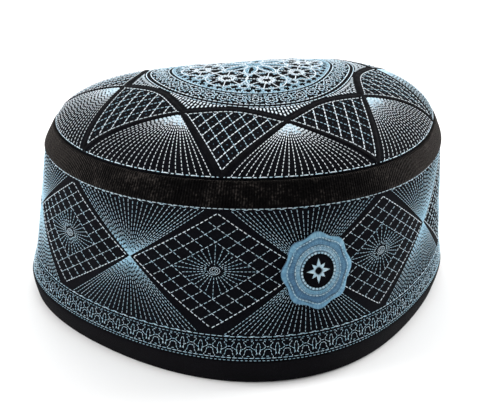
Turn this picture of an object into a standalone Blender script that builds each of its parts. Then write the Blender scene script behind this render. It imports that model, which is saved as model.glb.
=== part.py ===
"""Embroidered kufi cap: a tall soft side wall and a low domed crown of black cotton.

A folded binding runs round the rim, a ribbed tape covers the seam between wall and crown,
and one round patch sits on the front of the wall. The front faces -Y, up is +Z, and the
origin is the centre of the rim's bounding box, on the surface that the cap rests on.
Every piece is turned from a profile, pushed out of round like the worn cloth, and thickened.
"""
import math

import bpy
import bmesh
from mathutils import Vector

MM = 0.001

# The cap's outline
RIM_RADIUS = 95.0 * MM
WALL_HEIGHT = 66.7 * MM
TAPE_RISE = 9.0 * MM
TAPE_LEAN = 4.5 * MM
DOME_RISE = 24.3 * MM
DOME_FULLNESS = 1.7
DOME_SHOULDER = 0.66

# Cloth, binding, tape and patch
CLOTH = 2.4 * MM
BINDING = 1.0 * MM
TAPE = 1.0 * MM
PATCH = 1.5 * MM
GAP = 0.3 * MM
PROUD = 0.6 * MM
BINDING_HEIGHT = 9.3 * MM
BINDING_INNER_HEIGHT = 8.6 * MM
FOLD_RADIUS = 0.8 * MM
TAPE_OVERLAP = 0.8 * MM

# The patch
PATCH_RADIUS = 14.0 * MM
PATCH_HEIGHT = 42.0 * MM
PATCH_LOBES = 8
PATCH_LOBE_DEPTH = 0.7 * MM

# How the cloth leans and rises towards the top, measured at the seam line
LEAN_RIGHT = 1.7 * MM
LEAN_BACK = 0.1 * MM
RISE_RIGHT = 0.7 * MM
RISE_FRONT = 1.0 * MM
PEAK_RIGHT = -0.2 * MM
PEAK_BACK = -0.2 * MM
# The crown stands plumper on one side, at this angle from the front, and flatter opposite
PLUMP = 1.5 * MM
PLUMP_ANGLE = math.radians(19)
# It also stands plumper on two opposite sides, and flatter between them
SIDES_PLUMP = 2.9 * MM
SIDES_ANGLE = math.radians(86)

# Level sections of the wall: share of the wall's height, share of the rim's radius
SECTION_SHARES = (
    (0.000, 0.994),
    (0.142, 1.012),
    (0.275, 0.990),
    (0.640, 0.954),
    (1.000, 0.919),
)

# How far the plan is out of round, as shares of the radius:
# lobes round the cap, then cosine and sine shares at the rim and at the seam line
PLAN_SHARES = (
    (2, -0.007, -0.061, -0.074, -0.026),
    (3, 0.025, 0.017, 0.055, -0.001),
    (4, 0.018, -0.017, -0.016, 0.009),
)

# The cloth is shaped about this angle from the front, and falls back towards round
# between the next two angles away from it
SHAPED_ANGLE = math.radians(-20)
SHAPED_END_ANGLE = math.radians(95)
ROUND_ANGLE = math.radians(178)
BACK_SHARE = 0.3

STEPS_ROUND = 64
WALL_ROWS = 7
DOME_ROWS = 9
PATCH_RINGS = 3
PATCH_STEPS = 48

TOP = WALL_HEIGHT + TAPE_RISE
JOINT = WALL_HEIGHT + 0.5 * TAPE_RISE
SET_IN_BINDING = BINDING + GAP - PROUD
SET_IN_TAPE = TAPE + GAP - PROUD
STEP = 1.0 * MM


def section_share(climb):
    """Share of the rim's radius at a share of the wall's height, on a smooth curve."""
    heights = [row[0] for row in SECTION_SHARES]
    shares = [row[1] for row in SECTION_SHARES]
    slopes = []
    for index in range(len(SECTION_SHARES)):
        before = max(index - 1, 0)
        after = min(index + 1, len(SECTION_SHARES) - 1)
        slopes.append((shares[after] - shares[before]) / (heights[after] - heights[before]))
    lower = 0
    while lower < len(SECTION_SHARES) - 2 and climb > heights[lower + 1]:
        lower += 1
    span = heights[lower + 1] - heights[lower]
    t = min(max((climb - heights[lower]) / span, 0.0), 1.0)
    start = (1 + 2 * t) * (1 - t) ** 2 * shares[lower] + t * (1 - t) ** 2 * span * slopes[lower]
    end = t * t * (3 - 2 * t) * shares[lower + 1] - t * t * (1 - t) * span * slopes[lower + 1]
    return start + end


def outline_radius(height):
    """Mean radius of the cap's visible outline at a height, from the rim to the tape's top."""
    if height <= WALL_HEIGHT:
        return RIM_RADIUS * section_share(height / WALL_HEIGHT)
    lean = TAPE_LEAN * (min(height, TOP) - WALL_HEIGHT) / TAPE_RISE
    return RIM_RADIUS * section_share(1.0) - lean


def back_fade(angle):
    """How much of the out-of-round shape is left at an angle from the front."""
    away = abs(math.remainder(angle - SHAPED_ANGLE, 2 * math.pi))
    way = (away - SHAPED_END_ANGLE) / (ROUND_ANGLE - SHAPED_END_ANGLE)
    way = min(max(way, 0.0), 1.0)
    return 1.0 - (1.0 - BACK_SHARE) * way * way * (3 - 2 * way)


def plan_share(angle, climb):
    """Share of the mean radius at an angle from the front, towards +X."""
    wave = 0.0
    for lobes, rim_cosine, rim_sine, seam_cosine, seam_sine in PLAN_SHARES:
        cosine = rim_cosine + (seam_cosine - rim_cosine) * climb
        sine = rim_sine + (seam_sine - rim_sine) * climb
        wave += cosine * math.cos(lobes * angle) + sine * math.sin(lobes * angle)
    return 1.0 + wave * back_fade(angle)


def shaped(point):
    """Move a point of the round cap to its place on the out-of-round, leaning cap."""
    radius = math.hypot(point.x, point.y)
    angle = math.atan2(point.x, -point.y)
    climb = min(point.z, TOP) / WALL_HEIGHT
    reach = outline_radius(point.z)
    moved = min(radius / reach, 1.0) if point.z >= TOP else 1.0
    radius += reach * (plan_share(angle, climb) - 1.0) * moved
    across = radius / RIM_RADIUS
    x = radius * math.sin(angle)
    y = -radius * math.cos(angle)
    z = point.z + climb * across * (RISE_RIGHT * math.sin(angle) + RISE_FRONT * math.cos(angle))
    x += LEAN_RIGHT * climb
    y += LEAN_BACK * climb
    if point.z > TOP:
        x += PEAK_RIGHT * (1.0 - moved ** 2)
        y += PEAK_BACK * (1.0 - moved ** 2)
        z += PLUMP * 2.6 * moved * (1.0 - moved ** 2) * math.cos(angle - PLUMP_ANGLE)
        z += SIDES_PLUMP * 4 * moved ** 2 * (1.0 - moved ** 2) * math.cos(2 * (angle - SIDES_ANGLE))
    return Vector((x, y, z))


def rim_centre():
    """Centre of the rim's bounding box in plan, taken at the binding's widest level."""
    widest = max((outline_radius(step / 40 * BINDING_HEIGHT), step) for step in range(41))[1]
    height = widest / 40 * BINDING_HEIGHT
    points = []
    for step in range(STEPS_ROUND):
        turn = 2 * math.pi * step / STEPS_ROUND
        radius = outline_radius(height) + PROUD
        points.append(shaped(Vector((radius * math.sin(turn), -radius * math.cos(turn), height))))
    xs = [point.x for point in points]
    ys = [point.y for point in points]
    return Vector(((min(xs) + max(xs)) / 2, (min(ys) + max(ys)) / 2, 0.0))


def clear_scene():
    for thing in list(bpy.data.objects):
        bpy.data.objects.remove(thing, do_unlink=True)


def material(name, colour, roughness, metallic=0.0):
    finish = bpy.data.materials.new(name)
    finish.use_nodes = True
    shader = finish.node_tree.nodes["Principled BSDF"]
    shader.inputs["Base Color"].default_value = (*colour, 1.0)
    shader.inputs["Roughness"].default_value = roughness
    shader.inputs["Metallic"].default_value = metallic
    return finish


def finish_piece(piece, collection, finish, thickness, offset):
    """Centre a skin on the origin, thicken it and give it its material."""
    centre = rim_centre()
    piece.data.transform(piece.matrix_world)
    piece.matrix_world.identity()
    piece.location = -centre
    wall = piece.modifiers.new("cloth_thickness", "SOLIDIFY")
    wall.thickness = thickness
    wall.offset = offset
    wall.use_even_offset = True
    wall.use_rim = True
    piece.data.materials.append(finish)
    piece.data.shade_smooth()
    piece.data.set_sharp_from_angle(angle=math.radians(40))
    collection.objects.link(piece)


def turned_skin(name, profile, collection, finish, thickness):
    """Turn a profile of (radius, height) rows, push it out of round and thicken it inwards."""
    line = bpy.data.meshes.new(name + "_profile")
    rows = [(radius, 0.0, height) for radius, height in profile]
    line.from_pydata(rows, [(row, row + 1) for row in range(len(rows) - 1)], [])
    turned = bpy.data.objects.new(name + "_profile", line)
    bpy.context.scene.collection.objects.link(turned)
    screw = turned.modifiers.new("turn", "SCREW")
    screw.steps = STEPS_ROUND
    screw.render_steps = STEPS_ROUND
    screw.use_merge_vertices = True
    screw.merge_threshold = 0.00001
    screw.use_smooth_shade = True
    evaluated = turned.evaluated_get(bpy.context.evaluated_depsgraph_get())
    skin = bpy.data.meshes.new_from_object(evaluated)
    bpy.data.objects.remove(turned, do_unlink=True)
    skin.name = name
    for vertex in skin.vertices:
        vertex.co = shaped(vertex.co)
    piece = bpy.data.objects.new(name, skin)
    finish_piece(piece, collection, finish, thickness, -1.0)
    return piece


def hem_band(collection, finish):
    """The binding: a strip folded round the wall's lower edge, flat where it rests."""
    foot = outline_radius(0.0)
    inner = SET_IN_BINDING + CLOTH + 2 * GAP + BINDING
    belly = 0.5 * BINDING_HEIGHT
    profile = [
        (outline_radius(BINDING_HEIGHT) + PROUD, BINDING_HEIGHT),
        (outline_radius(belly) + PROUD, belly),
        (outline_radius(FOLD_RADIUS) + PROUD, FOLD_RADIUS),
        (foot + PROUD - FOLD_RADIUS, 0.0),
        (foot - inner + FOLD_RADIUS, 0.0),
        (outline_radius(FOLD_RADIUS) - inner, FOLD_RADIUS),
        (outline_radius(belly) - inner, belly),
        (outline_radius(BINDING_INNER_HEIGHT) - inner, BINDING_INNER_HEIGHT),
    ]
    return turned_skin("hem_band", profile, collection, finish, BINDING)


def side_wall(collection, finish):
    """The wall, from inside the binding up to the joint behind the ribbed tape."""
    below_tape = WALL_HEIGHT - TAPE_OVERLAP - STEP
    above_binding = BINDING_HEIGHT + GAP + STEP
    profile = [
        (outline_radius(JOINT - 0.5 * GAP) - SET_IN_TAPE, JOINT - 0.5 * GAP),
        (outline_radius(below_tape + STEP) - SET_IN_TAPE, below_tape + STEP),
    ]
    for row in range(WALL_ROWS + 1):
        height = below_tape + (above_binding - below_tape) * row / WALL_ROWS
        profile.append((outline_radius(height), height))
    foot = BINDING + GAP
    for height in (above_binding - STEP, 0.5 * above_binding, foot):
        profile.append((outline_radius(height) - SET_IN_BINDING, height))
    return turned_skin("side_wall", profile, collection, finish, CLOTH)


def crown(collection, finish):
    """The crown: a low dome with a short turned-down edge behind the ribbed tape."""
    rim = outline_radius(TOP)
    profile = []
    for row in range(DOME_ROWS + 1):
        share = math.sin(0.5 * math.pi * row / DOME_ROWS)
        rise = (1.0 - share ** DOME_FULLNESS) ** DOME_SHOULDER
        profile.append((share * (rim - 0.5 * SET_IN_TAPE), TOP + 0.5 * STEP + DOME_RISE * rise))
    profile.append((rim - SET_IN_TAPE, TOP - GAP))
    profile.append((outline_radius(JOINT + 0.5 * GAP) - SET_IN_TAPE, JOINT + 0.5 * GAP))
    return turned_skin("crown", profile, collection, finish, CLOTH)


def seam_band(collection, finish):
    """The ribbed tape that covers the joint between wall and crown."""
    upper = TOP - GAP
    lower = WALL_HEIGHT - TAPE_OVERLAP
    middle = WALL_HEIGHT + 0.5 * TAPE_RISE
    profile = [
        (outline_radius(upper) + PROUD, upper),
        (outline_radius(middle) + PROUD, middle),
        (outline_radius(WALL_HEIGHT) + PROUD, WALL_HEIGHT),
        (outline_radius(lower) + PROUD, lower + 0.5 * GAP),
    ]
    return turned_skin("seam_band", profile, collection, finish, TAPE)


def badge_patch(collection, finish):
    """The front patch: a scalloped disc bent to the wall, a gap clear of it."""
    disc = bmesh.new()
    centre = disc.verts.new((0.0, 0.0, 0.0))
    rings = []
    for ring in range(1, PATCH_RINGS + 1):
        share = ring / PATCH_RINGS
        loop = []
        for step in range(PATCH_STEPS):
            turn = 2 * math.pi * step / PATCH_STEPS
            radius = share * (PATCH_RADIUS + PATCH_LOBE_DEPTH * share * math.cos(PATCH_LOBES * turn))
            loop.append(disc.verts.new((radius * math.cos(turn), 0.0, radius * math.sin(turn))))
        rings.append(loop)
    for step in range(PATCH_STEPS):
        following = (step + 1) % PATCH_STEPS
        disc.faces.new((centre, rings[0][step], rings[0][following]))
        for inner, outer in zip(rings, rings[1:]):
            disc.faces.new((inner[step], outer[step], outer[following], inner[following]))
    for vertex in disc.verts:
        height = PATCH_HEIGHT + vertex.co.z
        radius = outline_radius(height) + GAP
        angle = vertex.co.x / radius
        around = Vector((radius * math.sin(angle), -radius * math.cos(angle), height))
        vertex.co = shaped(around)
    skin = bpy.data.meshes.new("badge_patch")
    disc.to_mesh(skin)
    disc.free()
    piece = bpy.data.objects.new("badge_patch", skin)
    finish_piece(piece, collection, finish, PATCH, 1.0)
    return piece


def main():
    clear_scene()
    cap = bpy.data.collections.new("kufi_cap")
    bpy.context.scene.collection.children.link(cap)
    side_wall(cap, material("black_cotton", (0.012, 0.011, 0.013), 0.9))
    crown(cap, material("crown_cotton", (0.012, 0.011, 0.013), 0.9))
    seam_band(cap, material("ribbed_tape", (0.022, 0.016, 0.015), 0.8))
    hem_band(cap, material("binding_cotton", (0.014, 0.012, 0.014), 0.85))
    badge_patch(cap, material("patch_thread", (0.42, 0.68, 0.82), 0.6))


main()
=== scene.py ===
import math

import bpy
import numpy as np
from mathutils import Matrix, Vector


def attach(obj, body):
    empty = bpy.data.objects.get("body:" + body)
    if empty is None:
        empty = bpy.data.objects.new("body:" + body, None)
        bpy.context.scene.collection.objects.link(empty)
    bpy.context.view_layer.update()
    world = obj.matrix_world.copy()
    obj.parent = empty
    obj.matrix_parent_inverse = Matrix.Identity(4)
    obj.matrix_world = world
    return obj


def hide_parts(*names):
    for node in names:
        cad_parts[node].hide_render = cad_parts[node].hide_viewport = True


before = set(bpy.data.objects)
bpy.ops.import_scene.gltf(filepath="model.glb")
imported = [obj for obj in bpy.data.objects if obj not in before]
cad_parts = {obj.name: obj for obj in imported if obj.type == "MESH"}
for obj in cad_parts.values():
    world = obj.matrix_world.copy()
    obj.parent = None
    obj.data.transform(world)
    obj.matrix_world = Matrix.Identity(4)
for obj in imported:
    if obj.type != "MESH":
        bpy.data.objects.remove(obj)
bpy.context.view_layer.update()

MM = 0.001
REPEATS = 8

# The cap's outline, the same sizes as the solids
RIM_RADIUS = 95.0 * MM
WALL_HEIGHT = 66.7 * MM
TAPE_RISE = 9.0 * MM
TAPE_LEAN = 4.5 * MM
DOME_RISE = 24.3 * MM
DOME_FULLNESS = 1.7
DOME_SHOULDER = 0.66
CLOTH = 2.4 * MM
BINDING = 1.0 * MM
TAPE = 1.0 * MM
PATCH = 1.5 * MM
PATCH_FACE = 0.80
GAP = 0.3 * MM
PROUD = 0.6 * MM
BINDING_HEIGHT = 9.3 * MM
PATCH_HEIGHT = 42.0 * MM
PATCH_RADIUS = 14.0 * MM
PATCH_LOBES = 8
PATCH_LOBE_DEPTH = 0.7 * MM
LEAN = (1.7 * MM, 0.1 * MM)
RISE_RIGHT = 0.7 * MM
RISE_FRONT = 1.0 * MM
PEAK = (-0.2 * MM, -0.2 * MM)
PLUMP = 1.5 * MM
PLUMP_ANGLE = math.radians(19)
SIDES_PLUMP = 2.9 * MM
SIDES_ANGLE = math.radians(86)
SHAPED_ANGLE = math.radians(-20)
SHAPED_END_ANGLE = math.radians(95)
ROUND_ANGLE = math.radians(178)
BACK_SHARE = 0.3

# Level sections of the wall: share of the wall's height, share of the rim's radius
SECTION_SHARES = np.array([
    (0.000, 0.994),
    (0.142, 1.012),
    (0.275, 0.990),
    (0.640, 0.954),
    (1.000, 0.919),
])

# Out of round: lobes, then cosine and sine shares at the rim and at the seam line
PLAN_SHARES = (
    (2, -0.007, -0.061, -0.074, -0.026),
    (3, 0.025, 0.017, 0.055, -0.001),
    (4, 0.018, -0.017, -0.016, 0.009),
)

TOP = WALL_HEIGHT + TAPE_RISE
JOINT = WALL_HEIGHT + 0.5 * TAPE_RISE
STEP = 1.0 * MM
SET_IN = BINDING + GAP - PROUD
CROWN_CLIMB = TOP / WALL_HEIGHT

# Where the pattern starts: the first diamond's middle, counted from this angle
PATTERN_ANGLE = math.radians(-17)
PATTERN_SHIFT = -0.023

# The wall's pattern: heights above the table, counts, and shares of a repeat or of a diamond
BORDER_LOW = 9.9 * MM
BORDER_TOP = 18.4 * MM
WALL_LINE = WALL_HEIGHT - 0.5 * MM
DIAMOND_MIDDLE = 43.2 * MM
DIAMOND_TOP = 64.4 * MM
DIAMOND_FOOT = 21.0 * MM
DIAMOND_HALF = 0.475
DIAMOND_CELLS = 8
FAN_RAYS = 27
FAN_MARGIN = 0.055
KNOTS = 5
BURST_RAYS = 28
BURST_FOOT = 0.066
BURST_REACH = 0.245
COIL_TURNS = 2.6

# The crown's pattern: shares of the way over the dome from its middle to the rim, and counts
APEX = 0.630
KITE_CORNER = 0.534
KITE_CELLS = 7
KITE_MARGIN = 0.0165
STAR_TIP = 0.994
CROWN_LINE = 0.994
CROWN_RAYS = 22
CROWN_FAN_MARGIN = 0.035
CROWN_FAN_SPREAD = 0.93
COMBS = 200
MEDALLION = 0.502
ROSETTE_RING = 0.396
BAND_WIDTH = 2.2 * MM
BOW = 0.35

# Threads, how deep their tips dive, and the step that reads a slope: on the cap, on the patch
THREAD = 0.40 * MM
WALL_THREAD = 0.27 * MM
THREAD_HEIGHT = 0.30 * MM
STITCH = 1.70 * MM
STITCH_FILL = 0.74
DIVE = 0.08 * MM
NEAR = 1e-3
FLAT = 1e-4

# Thread colours, from the deepest tint to the brightest
WHITE_TO_BLUE = ((0.020, 0.060, 0.110), (0.130, 0.330, 0.460), (0.440, 0.680, 0.820), (0.880, 0.940, 0.990))
PATCH_BLUES = ((0.030, 0.090, 0.190), (0.085, 0.220, 0.370), (0.200, 0.420, 0.570), (0.620, 0.780, 0.860))

# How far a piece's map reaches on the real cloth, across and along, for the pitch of its weave
RIM_ROUND = 2 * math.pi * RIM_RADIUS
WALL_MAP = (RIM_ROUND, 130 * MM)
CROWN_MAP = (RIM_ROUND, 180 * MM)
TAPE_MAP = (2 * math.pi * 86 * MM, 20 * MM)
BINDING_MAP = (RIM_ROUND, 60 * MM)
EYE_MAP = (40 * MM, 14 * MM)

# Camera: the cap's front is turned away from it, and it looks down on the cap
CAMERA_AZIMUTH = math.radians(-17)
CAMERA_DISTANCE = 442.7 * MM
CAMERA_ELEVATION = math.radians(21.84)
CAMERA_LOOK_HEIGHT = 41.2 * MM
CAMERA_PAN = 0.0029
CAMERA_TILT = -0.0223
CAMERA_ROLL = math.radians(1.23)
CAMERA_LENS = 67.83

# Stage: half the floor's width, and lights as a name, a spot, a size and a power
FLOOR = 6.0
ROOM_LIGHT = 0.46
SUN_LIGHT = 1.2
SIDE_LIGHTS = (
    ("left", (-0.95, 0.20, 0.45), 0.6, 9.0),
    ("right", (0.95, 0.15, 0.45), 0.6, 12.0),
    ("behind", (0.10, 1.05, 0.55), 0.8, 5.0),
)

CHANCE = np.random.default_rng(11)


def section_share(climb):
    """Radius share at a height share: Hermite curve through the sections, slopes from neighbours."""
    heights, shares = SECTION_SHARES.T
    count = len(heights)
    before = np.maximum(np.arange(count) - 1, 0)
    after = np.minimum(np.arange(count) + 1, count - 1)
    slopes = (shares[after] - shares[before]) / (heights[after] - heights[before])
    lower = np.clip(np.searchsorted(heights, climb) - 1, 0, count - 2)
    span = heights[lower + 1] - heights[lower]
    t = np.clip((climb - heights[lower]) / span, 0, 1)
    start = (1 + 2 * t) * (1 - t) ** 2 * shares[lower] + t * (1 - t) ** 2 * span * slopes[lower]
    end = t * t * (3 - 2 * t) * shares[lower + 1] - t * t * (1 - t) * span * slopes[lower + 1]
    return start + end


def outline_radius(height):
    """Mean outline radius: the sections up to the seam line, then the tape's straight lean."""
    wall = RIM_RADIUS * section_share(np.minimum(height / WALL_HEIGHT, 1))
    lean = TAPE_LEAN * np.clip((height - WALL_HEIGHT) / TAPE_RISE, 0, 1)
    return wall - lean


def plan_share(angle, climb):
    """Out-of-round share: waves of 2, 3 and 4 lobes, faded towards round behind the cap."""
    wave = 0.0
    for lobes, rim_cosine, rim_sine, seam_cosine, seam_sine in PLAN_SHARES:
        cosine = rim_cosine + (seam_cosine - rim_cosine) * climb
        sine = rim_sine + (seam_sine - rim_sine) * climb
        wave = wave + cosine * np.cos(lobes * angle) + sine * np.sin(lobes * angle)
    away = np.abs(np.mod(angle - SHAPED_ANGLE + np.pi, 2 * np.pi) - np.pi)
    way = np.clip((away - SHAPED_END_ANGLE) / (ROUND_ANGLE - SHAPED_END_ANGLE), 0, 1)
    return 1 + wave * (1 - (1 - BACK_SHARE) * way * way * (3 - 2 * way))


def shaped(radius, angle, height):
    """Points of the round cap moved out of round, leaned and plumped, as an array of xyz rows."""
    radius, angle, height = np.broadcast_arrays(radius, angle, height)
    climb = np.minimum(height, TOP) / WALL_HEIGHT
    reach = outline_radius(height)
    dome = height >= TOP
    moved = np.where(dome, np.minimum(radius / reach, 1), 1)
    radius = radius + reach * (plan_share(angle, climb) - 1) * moved
    across = radius / RIM_RADIUS
    rise = climb * across * (RISE_RIGHT * np.sin(angle) + RISE_FRONT * np.cos(angle))
    peak = np.where(dome, 1 - moved ** 2, 0)
    plump = PLUMP * 2.6 * moved * peak * np.cos(angle - PLUMP_ANGLE)
    plump = plump + SIDES_PLUMP * 4 * moved ** 2 * peak * np.cos(2 * (angle - SIDES_ANGLE))
    x = radius * np.sin(angle) + LEAN[0] * climb + PEAK[0] * peak
    y = -radius * np.cos(angle) + LEAN[1] * climb + PEAK[1] * peak
    return np.stack([x, y, height + rise + plump], -1)


def rim_centre():
    """Middle of the binding's widest outline, which is the frame's origin in plan."""
    heights = np.linspace(0, BINDING_HEIGHT, 41)
    height = heights[np.argmax(outline_radius(heights))]
    angle = np.linspace(0, 2 * np.pi, 721)
    points = shaped(outline_radius(height) + PROUD, angle, height)
    return np.append((points.min(0) + points.max(0))[:2] / 2, 0.0)


CENTRE = rim_centre()


def placed(radius, angle, height):
    """A point of the cap in the frame."""
    return shaped(radius, angle, height) - CENTRE


def turn_table(climb):
    """Share of the way round the cap's outline at each of 1441 angles, counted from the pattern's."""
    height = climb * WALL_HEIGHT
    angle = PATTERN_ANGLE + np.linspace(0, 2 * np.pi, 1441)
    points = shaped(outline_radius(height), angle, height)
    along = np.append(0, np.cumsum(np.linalg.norm(np.diff(points, axis=0), axis=1)))
    return angle, along / along[-1]


RIM_TURNS = turn_table(0.0)
SEAM_TURNS = turn_table(1.0)


def angle_at(turn, climb):
    """Angle at a share of the way round, blended between the rim's and the seam's own shares."""
    turn = turn + PATTERN_SHIFT
    whole = np.floor(turn)
    rim = np.interp(turn - whole, RIM_TURNS[1], RIM_TURNS[0])
    seam = np.interp(turn - whole, SEAM_TURNS[1], SEAM_TURNS[0])
    return rim + (seam - rim) * climb + 2 * np.pi * whole


def wall_cloth(place):
    """Wall surface from (pattern repeats round the cap, height)."""
    repeat, height = place[..., 0], place[..., 1]
    return placed(outline_radius(height), angle_at(repeat / REPEATS, height / WALL_HEIGHT), height)


def dome_height(share):
    """Height of the dome at a share of the way to the rim: a superellipse."""
    return TOP + 0.5 * STEP + DOME_RISE * (1 - np.clip(share, 0, 1) ** DOME_FULLNESS) ** DOME_SHOULDER


def dome_table():
    """Radius shares of the dome, and the share of the way over it at each, by summed steps."""
    share = np.sin(0.5 * np.pi * np.linspace(0, 1, 1201))
    radius = share * (outline_radius(TOP) - 0.5 * SET_IN)
    along = np.append(0, np.cumsum(np.hypot(np.diff(radius), np.diff(dome_height(share)))))
    return share, along / along[-1]


DOME_SHARES = dome_table()


def crown_cloth(place):
    """Crown surface from (x, y) on a unit disc: its angle is a turn, its radius the way over the dome."""
    share = np.interp(np.hypot(place[..., 0], place[..., 1]), DOME_SHARES[1], DOME_SHARES[0])
    turn = np.arctan2(place[..., 0], -place[..., 1]) / (2 * np.pi)
    angle = angle_at(turn, CROWN_CLIMB)
    radius = share * (outline_radius(TOP) - 0.5 * SET_IN)
    return placed(radius, angle, dome_height(share))


def patch_cloth(place):
    """Patch surface from (x, z) in metres about the patch's middle."""
    height = PATCH_HEIGHT + place[..., 1]
    radius = outline_radius(height) + GAP
    return placed(radius, place[..., 0] / radius, height)


def normals(cloth, place, step):
    """Outward unit normals: the cross product of the surface's two slopes."""
    right = cloth(place + np.array([step, 0.0])) - cloth(place - np.array([step, 0.0]))
    up = cloth(place + np.array([0.0, step])) - cloth(place - np.array([0.0, step]))
    out = np.cross(right, up)
    return out / np.linalg.norm(out, axis=-1, keepdims=True)


def disc(turn, share):
    """Places on the crown's unit disc from a turn and a share of the way out."""
    angle = 2 * np.pi * np.asarray(turn)
    return np.stack([share * np.sin(angle), -share * np.cos(angle)], -1)


def between(start, end, count):
    """Straight lines from each start to each end, as (line, point, 2)."""
    way = np.linspace(0, 1, count)[None, :, None]
    return start[:, None, :] * (1 - way) + end[:, None, :] * way


class Flow:
    """A value in a material, so that shader maths reads as an expression."""

    def __init__(self, finish, socket):
        self.finish = finish
        self.socket = socket

    def maths(self, operation, *others):
        return self.finish.node("ShaderNodeMath", {"operation": operation}, *others)

    def __add__(self, other):
        return self.maths("ADD", self, other)

    def __sub__(self, other):
        return self.maths("SUBTRACT", self, other)

    def __rsub__(self, other):
        return self.maths("SUBTRACT", other, self)

    def __mul__(self, other):
        return self.maths("MULTIPLY", self, other)

    __radd__ = __add__
    __rmul__ = __mul__

    def __pow__(self, other):
        return self.maths("POWER", self, other)

    def sine(self):
        return self.maths("SINE", self)

    def size(self):
        return self.maths("ABSOLUTE", self)


class Finish:
    """A material with a Principled shader, whose other nodes all come from one method."""

    def __init__(self, name, roughness, specular=0.5, sheen=0.0):
        self.material = bpy.data.materials.new(name)
        self.material.use_nodes = True
        self.tree = self.material.node_tree
        self.shader = self.tree.nodes["Principled BSDF"]
        self.shader.inputs["Roughness"].default_value = roughness
        self.shader.inputs["Specular IOR Level"].default_value = specular
        self.shader.inputs["Sheen Weight"].default_value = sheen

    def set(self, node, name, value):
        if isinstance(value, Flow):
            self.tree.links.new(value.socket, node.inputs[name])
        elif value is not None:
            node.inputs[name].default_value = value

    def node(self, kind, settings, *values, output=0, **named):
        made = self.tree.nodes.new(kind)
        for name, value in settings.items():
            if name == "stops":
                self.stops(made.color_ramp, value)
            else:
                setattr(made, name, value)
        for index, value in enumerate(values):
            self.set(made, index, value)
        for name, value in named.items():
            self.set(made, name.replace("_", " "), value)
        return Flow(self, made.outputs[output])

    @staticmethod
    def stops(ramp, rows):
        while len(ramp.elements) < len(rows):
            ramp.elements.new(0.5)
        for element, (position, colour) in zip(ramp.elements, rows):
            element.position = position
            element.color = (*colour, 1.0)

    def place(self, across, along):
        """The piece's own map, scaled to its real size."""
        uv = self.node("ShaderNodeUVMap", {"uv_map": "OFBake"})
        parts = self.node("ShaderNodeSeparateXYZ", {}, uv).socket.node
        u, v = (Flow(self, parts.outputs[index]) for index in (0, 1))
        return u * across, v * along

    def noise(self, scale, detail=2.0):
        """Noise in the piece's own coordinates, which are in metres."""
        vector = self.node("ShaderNodeTexCoord", {}, output=3)
        return self.node("ShaderNodeTexNoise", {}, Vector=vector, Scale=scale, Detail=detail)

    def ramp(self, way, *stops):
        """A colour from a row of stops, each a position and a colour."""
        return self.node("ShaderNodeValToRGB", {"stops": stops}, way)

    def blend(self, way, first, second):
        """A colour between two others."""
        return self.node("ShaderNodeMix", {"data_type": "RGBA"}, way, *[None] * 5, first, second, output=2)

    def colour(self, value):
        if isinstance(value, Flow):
            self.tree.links.new(value.socket, self.shader.inputs["Base Color"])
        else:
            self.shader.inputs["Base Color"].default_value = (*value, 1.0)

    def relief(self, height, depth):
        bump = self.node("ShaderNodeBump", {}, Strength=1.0, Distance=depth, Height=height)
        self.tree.links.new(bump.socket, self.shader.inputs["Normal"])


def black_cotton(name, across, along, colour=(0.0024, 0.0026, 0.0042), roughness=0.92):
    """Plain woven cotton: threads over and under each other, a little lint."""
    finish = Finish(name, roughness, specular=0.05)
    u, v = finish.place(across, along)
    pitch = 2 * math.pi / (0.42 * MM)
    weave = (u * pitch).sine() * (v * pitch).sine()
    lint = finish.noise(1900.0)
    wear = finish.noise(60.0)
    dark = tuple(0.6 * part for part in colour)
    light = tuple(2.5 * part + 0.001 for part in colour)
    finish.colour(finish.ramp(lint * 0.7 + wear * 0.3, (0.25, dark), (0.5, colour), (0.8, light)))
    finish.relief(weave * 0.4 + lint, 0.12 * MM)
    return finish.material


def ribbed_cotton(across, along):
    """The seam tape: ribs across its width, finer rows along it, a brownish bloom when seen aslant, and
    lighter brownish mottles of wear and painted sheen.
    """
    finish = Finish("ribbed_tape", 0.9, specular=0.02, sheen=0.30)
    finish.shader.inputs["Sheen Tint"].default_value = (0.55, 0.48, 0.44, 1.0)
    finish.shader.inputs["Sheen Roughness"].default_value = 0.26
    u, v = finish.place(across, along)
    ribs = (u * (2 * math.pi / (1.1 * MM))).sine()
    rows = (v * (2 * math.pi / (1.3 * MM))).sine()
    fleck = finish.noise(1100.0, 3.0)
    wear_and_sheen_mottles = finish.noise(170.0, 4.0)
    # The lighter brownish mottles are partly wear and partly painted sheen, standing in for a sheen that
    # varies over the tape.
    finish.colour(finish.ramp(
        fleck * 0.50 + wear_and_sheen_mottles * 0.45 + ribs * 0.05 + 0.02,
        (0.35, (0.0008, 0.0007, 0.0009)), (0.55, (0.0042, 0.0038, 0.0038)), (0.73, (0.050, 0.043, 0.039))))
    finish.relief(ribs * 0.5 + rows * 0.3 + fleck * 1.3, 0.24 * MM)
    return finish.material


def embroidery_thread(name, deep, middle, pale, bright):
    """Glossy thread: its tint runs along the piece's own map, and painted shade darkens it towards its tips,
    where it dives into the cloth.
    """
    finish = Finish(name, 0.38, specular=0.4)
    u, v = finish.place(1.0, 1.0)
    tint = finish.ramp(u, (0.0, deep), (0.33, middle), (0.66, pale), (1.0, bright))
    # Painted shade: the colour is blended towards a dark blue over each stitch's ends, where the thread dives
    # into the cloth.
    tip_shade = ((v * 2.0 - 1.0).size() ** 3.0) * 0.45
    dark = tuple(0.25 * part for part in middle)
    finish.colour(finish.blend(tip_shade, tint, (*dark, 1.0)))
    return finish.material


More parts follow.
